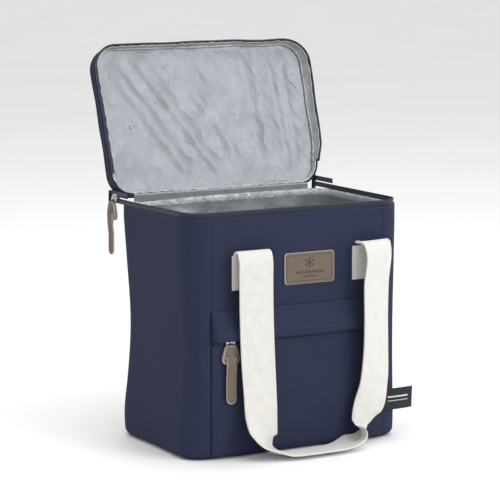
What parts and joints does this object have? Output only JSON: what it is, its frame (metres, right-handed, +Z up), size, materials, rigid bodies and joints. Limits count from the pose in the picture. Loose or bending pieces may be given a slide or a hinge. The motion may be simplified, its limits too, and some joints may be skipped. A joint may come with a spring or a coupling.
{
  "type": "insulated cooler bag",
  "caption": "Soft insulated cooler bag with a zipped, hinged lid, a flapped front zip pocket and two webbing handles.",
  "frame": {"origin": "middle of the base, on the surface the bag stands on", "axes": "+Z up, -Y towards the front panel with the pocket, +X to the right seen from the front"},
  "size_m": [0.2664, 0.2716, 0.4015],
  "materials": {
    "navy_canvas": "woven polyester canvas, matt",
    "foam": "closed-cell insulation foam",
    "board": "stiffening board",
    "silver_lining": "metallised lining film, satin",
    "zip_tape": "woven zip tape",
    "zip_teeth": "moulded coil",
    "webbing": "ribbed cotton webbing",
    "thread": "stitching thread",
    "leather": "taupe leather, matt with pale cut edges",
    "leather_thread": "pressed stitch line",
    "black_label": "woven label, satin",
    "steel": "plated steel"
  },
  "bodies": {
    "bag": {"outer_front": "navy_canvas", "outer_back": "navy_canvas", "outer_left": "navy_canvas", "outer_right": "navy_canvas", "outer_base": "navy_canvas", "foam_front": "foam", "foam_back": "foam", "foam_left": "foam", "foam_right": "foam", "foam_base": "foam", "base_board": "board", "liner_front": "silver_lining", "liner_back": "silver_lining", "liner_left": "silver_lining", "liner_right": "silver_lining", "liner_floor": "silver_lining", "mouth_hem": "silver_lining", "mouth_zip_tape": "zip_tape", "mouth_zip_teeth": "zip_teeth", "hinge_strip": "navy_canvas", "zip_tail_left": "zip_tape", "zip_tail_right": "zip_tape", "zip_tab_left": "navy_canvas", "zip_tab_right": "navy_canvas", "pocket_panel": "navy_canvas", "pocket_lining": "silver_lining", "pocket_flap": "navy_canvas", "pocket_zip_tape": "zip_tape", "pocket_zip_teeth": "zip_teeth", "badge": "leather", "badge_stitching": "leather_thread", "side_tag": "black_label", "front_strap_ends": "webbing", "back_strap_ends": "webbing", "front_strap_stitching": "thread", "back_strap_stitching": "thread"},
    "lid": {"lid_panel": "navy_canvas", "lid_foam": "foam", "lid_liner": "silver_lining", "lid_gusset": "navy_canvas", "lid_gusset_liner": "silver_lining", "lid_binding": "silver_lining", "lid_hinge_strip": "navy_canvas", "lid_zip_tape": "zip_tape", "lid_zip_teeth": "zip_teeth"},
    "front_handle": {"front_handle": "webbing"},
    "back_handle": {"back_handle": "webbing"},
    "mouth_slider": {"mouth_slider": "steel"},
    "mouth_pull": {"mouth_pull_loop": "steel", "mouth_puller": "leather"},
    "pocket_slider": {"pocket_slider": "steel"},
    "pocket_pull": {"pocket_pull_loop": "steel", "pocket_puller": "leather"}
  },
  "joints": [
    {"name": "lid_hinge", "type": "hinge", "parent": "bag", "child": "lid", "pos_m": [0, 0.08, 0.25], "axis": [1, 0, 0], "range_deg": [-5, 108]},
    {"name": "front_handle_swing", "type": "hinge", "parent": "bag", "child": "front_handle", "pos_m": [0.012, -0.089, 0.206], "axis": [-1, 0, 0], "range_deg": [0, 165]},
    {"name": "back_handle_swing", "type": "hinge", "parent": "bag", "child": "back_handle", "pos_m": [0.012, 0.089, 0.206], "axis": [1, 0, 0], "range_deg": [0, 140]},
    {"name": "mouth_zip_slide", "type": "slide", "parent": "bag", "child": "mouth_slider", "axis": [0, -1, 0], "range_m": [0, 0.12]},
    {"name": "mouth_pull_swing", "type": "hinge", "parent": "mouth_slider", "child": "mouth_pull", "pos_m": [-0.1265, 0.084, 0.25], "axis": [0, 1, 0], "range_deg": [0, 110]},
    {"name": "pocket_zip_slide", "type": "slide", "parent": "bag", "child": "pocket_slider", "axis": [1, 0, 0], "range_m": [0, 0.165]},
    {"name": "pocket_pull_swing", "type": "hinge", "parent": "pocket_slider", "child": "pocket_pull", "pos_m": [-0.081, -0.0853, 0.1205], "axis": [-1, 0, 0], "range_deg": [0, 60]}
  ]
}
